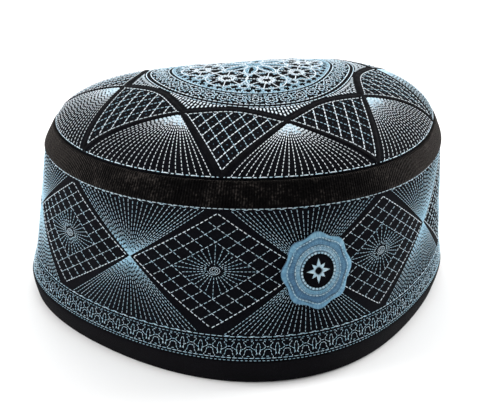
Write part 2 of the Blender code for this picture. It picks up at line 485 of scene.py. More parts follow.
def black_satin():
    """The raised star bands: close black stitches across the band."""
    finish = Finish("star_satin", 0.75, specular=0.03)
    u = finish.place(1.0, 1.0)[0]
    threads = (u * (2 * math.pi * 150)).sine()
    fleck = finish.noise(1500.0)
    finish.colour(finish.ramp(
        fleck + threads * 0.1, (0.3, (0.0014, 0.0014, 0.0020)), (0.7, (0.0052, 0.0052, 0.0070))))
    finish.relief(threads * 0.5 + fleck * 0.6, 0.12 * MM)
    return finish.material


def make_mesh(name, points, faces, spots):
    """A mesh from an array of points, lists of equal-sided faces and a map place for each corner."""
    mesh = bpy.data.meshes.new(name)
    sides = np.concatenate([np.full(len(part), part.shape[1]) for part in faces])
    corners = np.concatenate([part.ravel() for part in faces])
    mesh.vertices.add(len(points))
    mesh.vertices.foreach_set("co", np.ascontiguousarray(points, np.float32).ravel())
    mesh.loops.add(len(corners))
    mesh.loops.foreach_set("vertex_index", corners.astype(np.int32))
    mesh.polygons.add(len(sides))
    starts = np.cumsum(sides) - sides
    mesh.polygons.foreach_set("loop_start", starts.astype(np.int32))
    mesh.polygons.foreach_set("use_smooth", np.ones(len(sides), bool))
    layer = mesh.uv_layers.new(name="OFBake")
    layer.uv.foreach_set("vector", np.ascontiguousarray(spots, np.float32).ravel())
    mesh.update()
    mesh.validate()
    return mesh


def add_piece(name, mesh, material, replaced=None):
    """Put a piece in the scene, on the cap's one body."""
    piece = bpy.data.objects.new(name, mesh)
    bpy.context.scene.collection.objects.link(piece)
    mesh.materials.append(material)
    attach(piece, "root")
    if replaced:
        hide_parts(replaced)


def round_grid(rows, columns, closed=False):
    """Quads of a grid whose columns close up, with each corner's share of the way round and its row.

    A closed grid also joins its last row to its first.
    """
    row, column = np.meshgrid(np.arange(rows if closed else rows - 1), np.arange(columns), indexing="ij")
    row, column = row.ravel(), column.ravel()
    after, beside = (row + 1) % rows, (column + 1) % columns
    quads = np.stack([row * columns + column, row * columns + beside,
                      after * columns + beside, after * columns + column], -1)[:, ::-1]
    share = np.stack([column, column + 1, column + 1, column], -1)[:, ::-1] / columns
    level = np.stack([row, row, row + 1, row + 1], -1)[:, ::-1]
    return quads, share, level


def ring_shell(name, profile, columns):
    """A shell round the cap: a closed profile of (radius, height) rows carried round every angle."""
    rows = len(profile)
    angle = 2 * np.pi * np.arange(columns) / columns
    points = placed(profile[:, None, 0], angle[None, :], profile[:, None, 1])
    length = np.append(0, np.cumsum(np.linalg.norm(np.diff(profile, axis=0), axis=1)))
    v = np.append(length / length[-1] * (rows - 1) / rows, 1.0)
    quads, share, level = round_grid(rows, columns, closed=True)
    spots = np.stack([share, v[level]], -1)
    return make_mesh(name, points.reshape(-1, 3), [quads], spots.reshape(-1, 2))


def round_slab(name, points):
    """A closed slab from rings of points, its first and last ring each closed by a cap."""
    rows, steps = points.shape[:2]
    quads, share, level = round_grid(rows, steps)
    caps = np.stack([np.arange(steps), (rows - 1) * steps + np.arange(steps)[::-1]])
    spots = np.stack([share, level / (rows - 1)], -1)
    cap_row = np.stack([np.linspace(0, 1, steps), np.full(steps, 0.01)], -1)
    spots = np.concatenate([spots.reshape(-1, 2), cap_row, cap_row])
    return make_mesh(name, points.reshape(-1, 3), [quads, caps], spots)


def smooth_step(value, start, end):
    """0 before start, 1 after end, and a smooth rise between."""
    way = np.clip((value - start) / (end - start), 0, 1)
    return way * way * (3 - 2 * way)


def wall_profile():
    """Outer face from foot to joint, set in under binding and tape, then the inner face down."""
    heights = np.linspace(BINDING + GAP, JOINT - 0.5 * GAP, 56)
    under_binding = 1 - smooth_step(heights, BINDING_HEIGHT - 0.2 * MM, BINDING_HEIGHT + 0.9 * MM)
    under_tape = smooth_step(heights, WALL_HEIGHT - 0.2 * MM, WALL_HEIGHT + 0.9 * MM)
    outer = outline_radius(heights) - SET_IN * (under_binding + under_tape)
    inner = outer[::-1] - CLOTH
    return np.concatenate([np.stack([outer, heights], -1), np.stack([inner, heights[::-1]], -1)])


def crown_profile():
    """Outer face from the pole to the rim and down its turned edge, then the inner face back."""
    share = np.sin(0.5 * np.pi * np.linspace(0, 1, 44))
    share[0] = 1e-4
    rim = outline_radius(TOP)
    outer = np.stack([share * (rim - 0.5 * SET_IN), dome_height(share)], -1)
    edge = [(rim - SET_IN, TOP - GAP), (outline_radius(JOINT + 0.5 * GAP) - SET_IN, JOINT + 0.5 * GAP)]
    inner = outer[::2][::-1].copy()
    inner[:, 0] = np.maximum(inner[:, 0] - CLOTH * share[::2][::-1] ** 6, 1e-5)
    inner[:, 1] -= CLOTH * (1 - 0.6 * share[::2][::-1] ** 8)
    inner_edge = [(edge[1][0] - CLOTH, edge[1][1]), (edge[0][0] - CLOTH, edge[0][1] - 0.5 * CLOTH)]
    return np.concatenate([outer, edge, inner_edge, inner])


def tape_profile():
    """Ribbed tape: slightly crowned outer face, rounded edges, flat inner face."""
    low, high = WALL_HEIGHT + 0.1 * MM, TOP - GAP
    way = np.linspace(0, 1, 15)
    heights = low + (high - low) * way
    crowned = PROUD + 0.25 * MM * (1 - (2 * way - 1) ** 4) - 0.12 * MM * np.exp(-((way - 0.5) / 0.05) ** 2)
    outer = outline_radius(heights) + crowned
    inner = outline_radius(heights) + PROUD - TAPE
    return np.concatenate([np.stack([outer, heights], -1), np.stack([inner, heights], -1)[::-1]])


def binding_profile():
    """The binding folded round the edge: outer leg, round fold, inner leg, and back inside."""
    depth = SET_IN + CLOTH + 2 * GAP + BINDING
    lip = 0.35 * MM
    outer_heights = np.linspace(BINDING_HEIGHT - lip, 1.0 * MM, 12)
    outer = np.stack([outline_radius(outer_heights) + PROUD, outer_heights], -1)
    turn = np.linspace(0, 0.5 * np.pi, 7)[1:]
    foot = outline_radius(0.0)
    corner_out = np.stack([foot + PROUD - 1.0 * MM * (1 - np.cos(turn)), 1.0 * MM * (1 - np.sin(turn))], -1)
    corner_in = np.stack([foot - depth + 1.0 * MM * (1 - np.sin(turn)), 1.0 * MM * (1 - np.cos(turn))], -1)
    inner_heights = np.linspace(1.0 * MM, BINDING_HEIGHT - 0.7 * MM, 8)[1:]
    inner = np.stack([outline_radius(inner_heights) - depth, inner_heights], -1)
    back_heights = inner_heights[::-1]
    back = np.stack([outline_radius(back_heights) - depth + BINDING, back_heights], -1)
    under = np.array([(foot - depth + BINDING, 1.0 * MM), (foot + PROUD - BINDING, 1.0 * MM)])
    front_heights = np.linspace(1.2 * MM, BINDING_HEIGHT, 8)
    front = np.stack([outline_radius(front_heights) + PROUD - BINDING, front_heights], -1)
    top = np.array([(outline_radius(BINDING_HEIGHT) + PROUD - lip, BINDING_HEIGHT)])
    return np.concatenate([outer, corner_out, corner_in, inner, back, under, front, top])[::-1]


def sew(cloth, lines, pitch=STITCH, fill=STITCH_FILL, phase=0.0):
    """Running stitches on many lines at once, each line a whole number of stitches long.

    lines is (line, point, 2). phase slides each line's stitches by its own random part of a
    stitch, kept within the line. Returns the stitches' starts, middles and ends on the cloth,
    the line of each and the share of the way along it.
    """
    lines = np.asarray(lines, float)
    steps = np.linalg.norm(np.diff(cloth(lines), axis=1), axis=2)
    along = np.concatenate([np.zeros((len(lines), 1)), np.cumsum(steps, 1)], 1)
    length = along[:, -1]
    count = np.maximum(np.round(length / pitch), 1).astype(int)
    line = np.repeat(np.arange(len(lines)), count)
    order = np.arange(count.sum()) - np.repeat(np.cumsum(count) - count, count)
    step = (length / count)[line]
    apart = length.max() + 1.0
    reach = (along + np.arange(len(lines))[:, None] * apart).ravel()

    slide = (phase * (CHANCE.random(len(lines)) - 0.5))[line]

    def at(where):
        wanted = np.clip(where, 0, length[line]) + line * apart
        return np.stack([np.interp(wanted, reach, lines[..., axis].ravel()) for axis in (0, 1)], -1)

    low, high = (order + 0.5 - 0.5 * fill + slide) * step, (order + 0.5 + 0.5 * fill + slide) * step
    low, high = np.clip(low, 0, length[line] - 0.3 * step), np.clip(high, 0.3 * step, length[line])
    places = [at(low), at(0.5 * (low + high)), at(high)]
    return (*places, line, (order + 0.5) / count[line])


# Points in a ring round a stitch
SIDES = 5


def stitch_faces():
    """Faces of one stitch: a point, two rings of five, a point."""
    ring = np.arange(SIDES)
    beside = (ring + 1) % SIDES
    start = np.stack([np.full(SIDES, 0), 2 + beside, 2 + ring], -1)
    body = np.stack([2 + ring, 2 + beside, 2 + SIDES + beside, 2 + SIDES + ring], -1)
    end = np.stack([2 + SIDES + ring, 2 + SIDES + beside, np.full(SIDES, 1)], -1)
    return start, body, end


def thread_mesh(name, cloth, group, height, step, lift):
    """All stitches of a piece as one mesh.

    Each stitch is a low half-buried capsule: its two tips dive into the cloth, and its two rings
    lie along the surface, width wide and height high.
    """
    starts, middles, ends, tints, width = group
    start, middle, end = cloth(starts), cloth(middles), cloth(ends)
    out = normals(cloth, middles, step)
    ahead = end - start
    ahead /= np.maximum(np.linalg.norm(ahead, axis=1, keepdims=True), 1e-9)
    side = np.cross(ahead, out)
    side /= np.maximum(np.linalg.norm(side, axis=1, keepdims=True), 1e-9)
    width = width[:, None, None]
    turn = 0.5 * np.pi + 2 * np.pi * np.arange(SIDES) / SIDES
    ring = side[:, None] * np.cos(turn)[:, None] * 0.5 * width
    ring = ring + out[:, None] * (0.30 + 0.5 * np.sin(turn)[:, None]) * height
    bow = middle - 0.5 * (start + end)
    first = start + (end - start) * 0.2 + bow * 0.64
    second = start + (end - start) * 0.8 + bow * 0.64
    raised = out * lift
    points = np.concatenate([
        (start - out * DIVE + raised)[:, None], (end - out * DIVE + raised)[:, None],
        (first + raised)[:, None] + ring, (second + raised)[:, None] + ring], 1)
    parts = stitch_faces()
    size = 2 + 2 * SIDES
    base = size * np.arange(len(start))
    faces = [(part[None] + base[:, None, None]).reshape(-1, part.shape[1]) for part in parts]
    across = np.concatenate([[0, 0], np.cos(turn), np.cos(turn)]) * 0.004
    along = np.concatenate([[0, 1], np.full(SIDES, 0.2), np.full(SIDES, 0.8)])
    u = np.clip(tints, 0.01, 0.99)[:, None] + across
    v = np.broadcast_to(along, u.shape)
    spots = np.stack([u, v], -1)
    corners = [spots[:, part.ravel()].reshape(-1, 2) for part in parts]
    return make_mesh(name, points.reshape(-1, 3), faces, np.concatenate(corners))


def diamond_point(centre, a, b):
    """Place in a diamond from two shares: 0,0 is its left corner, 1,0 its top, 0,1 its foot."""
    left = np.array([-DIAMOND_HALF, DIAMOND_MIDDLE])
    top = np.array([0.0, DIAMOND_TOP])
    foot = np.array([0.0, DIAMOND_FOOT])
    right = np.array([DIAMOND_HALF, DIAMOND_MIDDLE])
    a, b = np.asarray(a)[..., None], np.asarray(b)[..., None]
    spot = left * (1 - a) * (1 - b) + top * a * (1 - b) + foot * (1 - a) * b + right * a * b
    return spot + np.array([1.0, 0.0]) * np.asarray(centre)[..., None]


def diamond_lines():
    """Grid of a diamond: eight cells each way, and the middle four by four left open."""
    rows = []
    for index in range(DIAMOND_CELLS + 1):
        share = index / DIAMOND_CELLS
        inside = 2 < index < DIAMOND_CELLS - 2
        for low, high in ((0.0, 0.25), (0.75, 1.0)) if inside else ((0.0, 1.0),):
            rows.append((share, low, share, high))
            rows.append((low, share, high, share))
    return np.array(rows)


def centres():
    """The eight diamonds' middles, as repeats round the cap."""
    return np.arange(REPEATS, dtype=float)


def dressed(stitches, base, spread, width):
    """Sewn stitches with one width, and a tint that is base and up to spread more, at random."""
    start, middle, end = stitches[:3]
    tint = base + spread * CHANCE.random(len(start))
    return start, middle, end, tint, np.full(len(start), width)


def straight(starts, ends, tint, width):
    """Single stitches from each start to each end."""
    return starts, 0.5 * (starts + ends), ends, tint, np.full(len(starts), width)


def join(groups):
    """Put groups of stitches together."""
    return tuple(np.concatenate([np.asarray(group[index]) for group in groups]) for index in range(5))


def wall_diamonds():
    """The white grids of the eight diamonds."""
    rows = diamond_lines()
    centre = np.repeat(centres(), len(rows))
    rows = np.tile(rows, (REPEATS, 1))
    lines = between(diamond_point(centre, rows[:, 0], rows[:, 1]),
                    diamond_point(centre, rows[:, 2], rows[:, 3]), 24)
    edge = (np.abs(rows[:, 0] - rows[:, 2]) < 1e-9) & (np.abs(rows[:, 0] - 0.5) > 0.49)
    edge |= (np.abs(rows[:, 1] - rows[:, 3]) < 1e-9) & (np.abs(rows[:, 1] - 0.5) > 0.49)
    start, middle, end, line = sew(wall_cloth, lines, 2.0 * MM, 0.84, 1.0)[:4]
    tint = 0.68 + 0.18 * CHANCE.random(len(start)) + 0.14 * edge[line]
    width = WALL_THREAD * np.where(edge[line], 1.15, 0.82)
    return start, middle, end, tint, width


def wall_bursts():
    """The burst of rays in each diamond, with a small coiled eye."""
    turn = (np.arange(BURST_RAYS) + 0.5) / BURST_RAYS * 2 * np.pi
    a_way, b_way = np.cos(turn), np.sin(turn)
    reach = BURST_REACH / np.maximum(np.abs(a_way), np.abs(b_way))
    centre = centres()[:, None]
    starts = diamond_point(centre, 0.5 + a_way * BURST_FOOT, 0.5 + b_way * BURST_FOOT).reshape(-1, 2)
    ends = diamond_point(centre, 0.5 + a_way * reach, 0.5 + b_way * reach).reshape(-1, 2)
    sewn = sew(wall_cloth, between(starts, ends, 12), 1.5 * MM, 0.80, 1.0)
    rays = dressed(sewn, 0.66 - 0.10 * sewn[4], 0.18, 0.75 * WALL_THREAD)
    coil = np.linspace(0, 1, 60)
    spin = 2 * np.pi * COIL_TURNS * coil
    bend = 0.008 + 0.047 * coil
    a, b = 0.5 + bend * np.cos(spin), 0.5 + bend * np.sin(spin)
    eye = np.stack([diamond_point(np.full(len(coil), middle), a, b) for middle in centres()])
    return join([rays, dressed(sew(wall_cloth, eye, 0.8 * MM, 0.95), 0.72, 0.22, 0.85 * WALL_THREAD)])


def fan_tint(way, line, blue_reach):
    """Light blue by the fan's point and paler further out, a little different on each ray."""
    ray = CHANCE.random(line.max() + 1)[line]
    white = smooth_step(way, 0.0, blue_reach)
    return 0.46 + 0.12 * ray + (0.22 - 0.08 * ray) * white + 0.16 * CHANCE.random(len(way))


def infill(starts, ends, rays, reach):
    """Lines midway between neighbouring rays of each fan, each out to its own share of their length."""
    near, far = starts.reshape(REPEATS, rays, 2), ends.reshape(REPEATS, rays, 2)
    near = (0.5 * (near[:, :-1] + near[:, 1:])).reshape(-1, 2)
    far = (0.5 * (far[:, :-1] + far[:, 1:])).reshape(-1, 2)
    out = reach * (0.35 + 0.65 * CHANCE.random(len(near)))[:, None]
    return between(near, near + (far - near) * out, 12)


def links(ends, rays):
    """Where each fan's thread turns back: the ends of its rays, two by two, as firsts and seconds."""
    ends = ends.reshape(REPEATS, rays, 2)
    return ends[:, :-1:2].reshape(-1, 2), ends[:, 1::2].reshape(-1, 2)


def wall_fan(level, upwards):
    """One half of the fans: rays from each point between two diamonds to a stitched line.

    A few level stitches cover the point itself.
    """
    up = 1 if upwards else -1
    share = (np.arange(FAN_RAYS) + 0.5) / FAN_RAYS
    edge = FAN_MARGIN + (1 - 2 * FAN_MARGIN) * share
    point = np.repeat(centres() + 0.5, FAN_RAYS)
    ends = np.stack([point - 0.5 + np.tile(edge, REPEATS), np.full(len(point), level)], -1)
    middle = np.stack([point, np.full(len(point), DIAMOND_MIDDLE)], -1)
    starts = middle + (ends - middle) * 0.003
    start, mid, end, line, along = sew(wall_cloth, between(starts, ends, 24), fill=0.84, phase=1.0)
    width = WALL_THREAD * (0.90 - 0.18 * smooth_step(along, 0.1, 0.6))
    rays = (start, mid, end, fan_tint(along, line, 0.45) - 0.06, width)
    first, second = links(ends, FAN_RAYS)
    shift = np.array([0.0, up * 0.25 * MM])
    turns = dressed(sew(wall_cloth, between(first + shift, second + shift, 4), 3.0 * MM, 0.9),
                    0.66, 0.15, 0.8 * WALL_THREAD)
    order = np.tile(np.arange(KNOTS), REPEATS)
    rise = (0.2 + 0.45 * order) * up * MM
    knot = np.stack([np.repeat(centres() + 0.5, KNOTS), DIAMOND_MIDDLE + rise], -1)
    wide = np.stack([0.006 + 0.0012 * order, 0.0 * order], -1)
    tint, thick = np.full(len(order), 0.50), np.full(len(order), 1.3 * WALL_THREAD)
    return join([rays, turns, (knot - wide, knot, knot + wide, tint, thick)])


def level_line(height, pitch, fill, width, base):
    """A stitched line round the wall at one height."""
    repeat = np.linspace(0, REPEATS, 800)
    line = np.stack([repeat, np.full(len(repeat), height)], -1)[None]
    return dressed(sew(wall_cloth, line, pitch, fill), base, 0.2, width)


# One motif of the border: lines of points, across in shares of the motif, up in shares of the band
BORDER_MOTIF = (
    ((-0.24, 0.50), (-0.14, 0.61), (0.00, 0.65), (0.14, 0.61), (0.24, 0.50)),
    ((-0.14, 0.47), (0.00, 0.50), (0.14, 0.47)),
    ((-0.14, 0.47), (-0.18, 0.34), (-0.21, 0.18), (-0.31, 0.05), (-0.24, 0.02)),
    ((0.14, 0.47), (0.18, 0.34), (0.21, 0.18), (0.31, 0.05), (0.24, 0.02)),
    ((-0.11, 0.64), (-0.18, 0.77), (-0.27, 0.88), (-0.17, 0.97), (-0.11, 0.90)),
    ((0.11, 0.64), (0.18, 0.77), (0.27, 0.88), (0.17, 0.97), (0.11, 0.90)),
    ((-0.24, 0.50), (-0.34, 0.48), (-0.42, 0.30), (-0.38, 0.16)),
    ((0.24, 0.50), (0.34, 0.48), (0.42, 0.30), (0.38, 0.16)),
    ((0.49, 0.88), (0.42, 0.72), (0.39, 0.54), (0.43, 0.30), (0.47, 0.20)),
    ((0.51, 0.88), (0.58, 0.72), (0.61, 0.54), (0.57, 0.30), (0.53, 0.20)),
    ((-0.09, 0.05), (0.00, 0.12), (0.09, 0.05)),
)
BORDER_MOTIFS = 80
MOTIF_POINTS = 22


def bowed(points, count):
    """A smooth line through a motif's points: cubic, with each slope from the neighbours."""
    points = np.asarray(points, float)
    slots = np.linspace(0, len(points) - 1, count)
    lower = np.clip(slots.astype(int), 0, len(points) - 2)
    t = (slots - lower)[:, None]
    slopes = np.gradient(points, axis=0)
    first, second = points[lower], points[lower + 1]
    return ((1 + 2 * t) * (1 - t) ** 2 * first + t * (1 - t) ** 2 * slopes[lower]
            + t * t * (3 - 2 * t) * second - t * t * (1 - t) * slopes[lower + 1])


def wall_border():
    """The scroll border between its stitched lines."""
    low, high = BORDER_LOW + 1.1 * MM, BORDER_TOP - 1.3 * MM
    motif = np.stack([bowed(row, MOTIF_POINTS) for row in BORDER_MOTIF])
    shift = np.arange(BORDER_MOTIFS)[:, None, None]
    repeat = (motif[None, :, :, 0] + shift) * REPEATS / BORDER_MOTIFS
    height = np.broadcast_to(low + (high - low) * motif[None, :, :, 1], repeat.shape)
    lines = np.stack([repeat, height], -1).reshape(-1, MOTIF_POINTS, 2)
    return dressed(sew(wall_cloth, lines, 1.25 * MM, 0.94), 0.60, 0.26, 0.72 * WALL_THREAD)


def wall_lines():
    """The stitched lines along the border and under the tape."""
    return join([
        level_line(BORDER_LOW, STITCH, 0.66, 0.80 * WALL_THREAD, 0.52),
        level_line(BORDER_LOW + 0.95 * MM, 2.2 * MM, 0.94, 0.85 * WALL_THREAD, 0.60),
        level_line(BORDER_TOP - 1.05 * MM, STITCH, 0.66, 0.75 * WALL_THREAD, 0.48),
        level_line(BORDER_TOP, 2.4 * MM, 0.95, 0.90 * WALL_THREAD, 0.62),
        level_line(WALL_LINE, 2.2 * MM, 0.95, 1.15 * WALL_THREAD, 0.72),
    ])


def meet(first, first_way, second, second_way):
    """How far along the first line it meets the second: cross products of their ways."""
    cross = first_way[..., 0] * second_way[..., 1] - first_way[..., 1] * second_way[..., 0]
    gap = second - first
    return (gap[..., 0] * second_way[..., 1] - gap[..., 1] * second_way[..., 0]) / cross


def kite_corners():
    """Tip, right, inner and left corners of one kite, drawn in by the margin beside its bands."""
    outer = np.stack([disc(0.0, STAR_TIP), disc(0.5 / REPEATS, APEX), disc(0.0, KITE_CORNER),
                      disc(-0.5 / REPEATS, APEX)])
    side = np.roll(outer, -1, axis=0) - outer
    side /= np.linalg.norm(side, axis=1, keepdims=True)
    inwards = np.stack([-side[:, 1], side[:, 0]], -1)
    start = outer + inwards * KITE_MARGIN
    before, before_side = np.roll(start, 1, axis=0), np.roll(side, 1, axis=0)
    along = meet(before, before_side, start, side)
    return before + before_side * along[:, None]


def turned(points, steps):
    """Flat points of the crown's disc turned by whole repeats: (repeat, ..., 2)."""
    angle = 2 * np.pi * np.asarray(steps, float) / REPEATS
    angle = angle.reshape(-1, *([1] * (np.ndim(points) - 1)))
    x, y = points[None, ..., 0], points[None, ..., 1]
    return np.stack([x * np.cos(angle) - y * np.sin(angle), x * np.sin(angle) + y * np.cos(angle)], -1)


def kite_rows(corners, mirrored):
    """Grid lines of a kite that run beside one outer side, from the other outer side inwards."""
    tip, right, inner, left = corners
    if mirrored:
        right, left = left, right
    share = (np.arange(1, KITE_CELLS) / KITE_CELLS)[:, None]
    starts = tip + (left - tip) * share
    way = np.broadcast_to(right - tip, starts.shape)
    near = meet(starts, way, left[None], (inner - left)[None])
    far = meet(starts, way, inner[None], (right - inner)[None])
    along = np.where(near > 0, np.minimum(near, np.where(far > 0, far, near)), far)
    return starts, starts + way * (along[:, None] - 0.01)


def rounded(points, share, count):
    """A line through a row of corners, each middle corner eased into a bow (quadratic Bezier)."""
    points = np.asarray(points)
    first = points[1] + (points[0] - points[1]) * share
    last = points[1] + (points[2] - points[1]) * share
    t = np.linspace(0, 1, count)[:, None]
    bow = (1 - t) ** 2 * first + 2 * t * (1 - t) * points[1] + t * t * last
    ways = np.linspace(0, 1, count)[:, None]
    return np.concatenate([points[0] + (first - points[0]) * ways[:-1], bow,
                           last + (points[2] - last) * ways[1:]])


# Grid lines of the kites: whether bright, then pitch, fill, tint and width in threads
KITE_LINES = ((True, 2.2 * MM, 0.97, 0.88, 1.15), (False, STITCH, 0.82, 0.60, 0.85))


def crown_kites():
    """Kites of the crown: a bright outline by the bands, bright lines one way, fainter ones across.

    The bright lines lean the other way in the kites on the left half of the crown.
    """
    corners = kite_corners()
    tip, right, inner, left = corners
    outline = rounded([right, inner, left], BOW, 14)
    sides = np.stack([between(left[None], tip[None], 40)[0], between(right[None], tip[None], 40)[0], outline])
    lines = turned(sides, centres()).reshape(-1, 40, 2)
    groups = [dressed(sew(crown_cloth, lines, 2.0 * MM, 0.92, 1.0), 0.90, 0.09, THREAD)]
    cross = np.stack([right, turned(left, [1.0])[0]])
    lines = turned(between(cross[:1], cross[1:], 8), centres()).reshape(-1, 8, 2)
    groups.append(dressed(sew(crown_cloth, lines, 1.6 * MM, 0.92), 0.86, 0.12, THREAD))
    for bright, pitch, fill, base, width in KITE_LINES:
        for mirrored in (False, True):
            chosen = centres()[(centres() > 0.5 * REPEATS) == (mirrored == bright)]
            lines = turned(between(*kite_rows(corners, mirrored), 16), chosen).reshape(-1, 16, 2)
            groups.append(dressed(sew(crown_cloth, lines, pitch, fill, 1.0), base, 0.16, width * THREAD))
    return join(groups)


def crown_seeds():
    """A faint short stitch in the middle of each kite's cells."""
    tip, right, inner, left = kite_corners()
    share = (np.arange(KITE_CELLS) + 0.5) / KITE_CELLS
    a, b = (grid.ravel()[:, None] for grid in np.meshgrid(share, share))
    spots = tip + (right - tip) * a + (left - tip) * b
    side = inner - left
    height = (spots[:, 0] - left[0]) * side[1] - (spots[:, 1] - left[1]) * side[0]
    other = right - inner
    beyond = (spots[:, 0] - inner[0]) * other[1] - (spots[:, 1] - inner[1]) * other[0]
    spots = spots[(height > 0.006 * np.linalg.norm(side)) & (beyond > 0.006 * np.linalg.norm(other))]
    places = turned(spots, centres()).reshape(-1, 2)
    lean = CHANCE.normal(0, 0.0022, places.shape)
    tint = 0.04 + 0.18 * CHANCE.random(len(places))
    return places - lean, places, places + lean, tint, np.full(len(places), 0.8 * THREAD)


def crown_fans():
    """Fans of the crown: rays from each point of the star to the stitched line at the rim."""
    share = (np.arange(CROWN_RAYS) + 0.5) / CROWN_RAYS
    edge = np.tile(CROWN_FAN_MARGIN + CROWN_FAN_SPREAD * share, REPEATS)
    point = np.repeat(centres(), CROWN_RAYS)
    ends = disc((point + edge) / REPEATS, CROWN_LINE - 0.0006)
    tops = disc((point + 0.5) / REPEATS, APEX + 0.020)
    starts = tops + (ends - tops) * 0.01
    start, middle, end, line, way = sew(crown_cloth, between(starts, ends, 60), fill=0.78, phase=0.6)
    turn = (line // CROWN_RAYS + 0.5) / REPEATS
    back = 0.5 * (1 - np.cos(2 * np.pi * turn))
    # Painted sheen: the fans' tint runs paler at the front and deeper blue towards the back, where light
    # grazes the thread.
    tint = fan_tint(way, line, 0.35) + 0.32 - 0.46 * back
    rays = (start, middle, end, tint, THREAD * (0.92 + 0.26 * back - 0.24 * smooth_step(way, 0.2, 0.7)))
    close = dressed(sew(crown_cloth, infill(starts, ends, CROWN_RAYS, 0.26), fill=0.92),
                    0.62, 0.30, 0.95 * THREAD)
    turns = dressed(sew(crown_cloth, between(*links(ends, CROWN_RAYS), 4), 3.0 * MM, 0.9),
                    0.80, 0.15, 0.9 * THREAD)
    return join([rays, close, turns])


def star_radius(turn):
    """Share at which the star's inner edge lies, at a turn: straight from corner to crossing."""
    away = np.abs(np.mod(turn * REPEATS + 0.5, 1.0) - 0.5) * 2
    inner = disc(0.0, KITE_CORNER - 0.006)
    cross = disc(0.5 / REPEATS, APEX - 0.02)
    angle = away * np.pi / REPEATS
    slope = cross - inner
    ray = np.stack([np.sin(angle), -np.cos(angle)], -1)
    number = inner[0] * slope[1] - inner[1] * slope[0]
    return number / (ray[..., 0] * slope[1] - ray[..., 1] * slope[0])


def crown_comb():
    """Short comb stitches between the medallion and the star."""
    turn = (np.arange(COMBS) + 0.5) / COMBS
    outer = star_radius(turn) - 0.015
    inner = np.full(COMBS, MEDALLION + 0.013)
    keep = outer - inner > 0.010
    starts, ends = disc(turn, inner)[keep], disc(turn + 0.0008, outer)[keep]
    return dressed(sew(crown_cloth, between(starts, ends, 6), 2.2 * MM, 0.86), 0.86, 0.13, 1.9 * THREAD)


def ring_line(share, pitch, fill, width, base):
    """A stitched ring on the crown."""
    line = disc(np.linspace(0, 1, 600), share)[None]
    return dressed(sew(crown_cloth, line, pitch, fill), base, 0.2, width)


def crown_rings():
    """The rings that frame the medallion, and the line at the crown's rim."""
    return join([
        ring_line(CROWN_LINE, 2.0 * MM, 0.72, 0.9 * THREAD, 0.66),
        ring_line(MEDALLION + 0.008, 2.2 * MM, 0.95, 1.2 * THREAD, 0.70),
        ring_line(MEDALLION - 0.014, 2.2 * MM, 0.95, 1.3 * THREAD, 0.76),
        ring_line(ROSETTE_RING + 0.006, 2.2 * MM, 0.95, 1.2 * THREAD, 0.70),
        ring_line(ROSETTE_RING - 0.012, 2.2 * MM, 0.95, 1.2 * THREAD, 0.76),
    ])


# Counts in the medallion: flowers in its ring, short stitches between two, petals of the lace
ROSETTES = 38
FILLERS = 7
PETALS = 8


def spread_at(turn, share):
    """Places on the crown's disc, and the ways outwards and sideways there."""
    heart, out = disc(turn, share), disc(turn, 1.0)
    return heart, out, np.stack([-out[:, 1], out[:, 0]], -1)


def ring_rosettes():
    """Small flowers side by side in the medallion's outer ring: a petalled loop and an eye each."""
    middle_share = 0.5 * (MEDALLION - 0.02 + ROSETTE_RING + 0.006)
    reach = 0.5 * (MEDALLION - 0.02 - ROSETTE_RING - 0.006) * 0.88
    spin = np.linspace(0, 2 * np.pi, 40)
    heart, out, side = spread_at(np.arange(ROSETTES) / ROSETTES, middle_share)
    groups = []
    for size, wave, width in ((1.0, 0.16, 1.15), (0.42, 0.0, 1.3)):
        bend = reach * size * (1 - wave + wave * np.cos(6 * spin))
        lines = (heart[:, None] + out[:, None] * (bend * np.cos(spin))[None, :, None]
                 + side[:, None] * (bend * np.sin(spin))[None, :, None])
        groups.append(dressed(sew(crown_cloth, lines, 1.15 * MM, 0.95), 0.68, 0.26, width * THREAD))
    apart = np.repeat(np.arange(ROSETTES) + 0.5, FILLERS)
    turn = (apart + 0.5 * (CHANCE.random(FILLERS * ROSETTES) - 0.5)) / ROSETTES
    share = middle_share + reach * np.tile(np.linspace(-1.1, 1.1, FILLERS), ROSETTES)
    starts, ends = disc(turn - 0.0014, share - 0.004), disc(turn + 0.0014, share + 0.004)
    tint = 0.50 + 0.30 * CHANCE.random(len(turn))
    groups.append(straight(starts, ends, tint, 1.3 * THREAD))
    return join(groups)


def lens(x, y, long, wide):
    """Inside a pointed oval, long along x: 1 at its middle, 0 at its edge, below 0 outside."""
    return 1 - np.abs(y) / wide - (x / long) ** 2


# The medallion's lace: places and sizes on the crown's unit disc, and counts
FLOWER_PLACE = 0.250
FLOWER_HOLES = 8
HOLE_RING = 0.069
FLOWER_CORE = 0.038
FLOWER_EDGE = 0.099
KNOT_PLACE = 0.318
KNOT_EDGE = 0.022
LEAF = (0.035, 0.178)
LEAF_HALF = 0.032
FRINGE = 6
LACE_ROW = 0.0095
LACE_PITCH = 0.0070
LACE_EDGE = -0.28


def petal_place(turn, share, shift):
    """Sideways distance from the nearest petal's axis, the axes turned by a share of a petal."""
    petal = np.mod(turn * PETALS - shift + 0.5, 1.0) - 0.5
    return petal * 2 * np.pi / PETALS * share


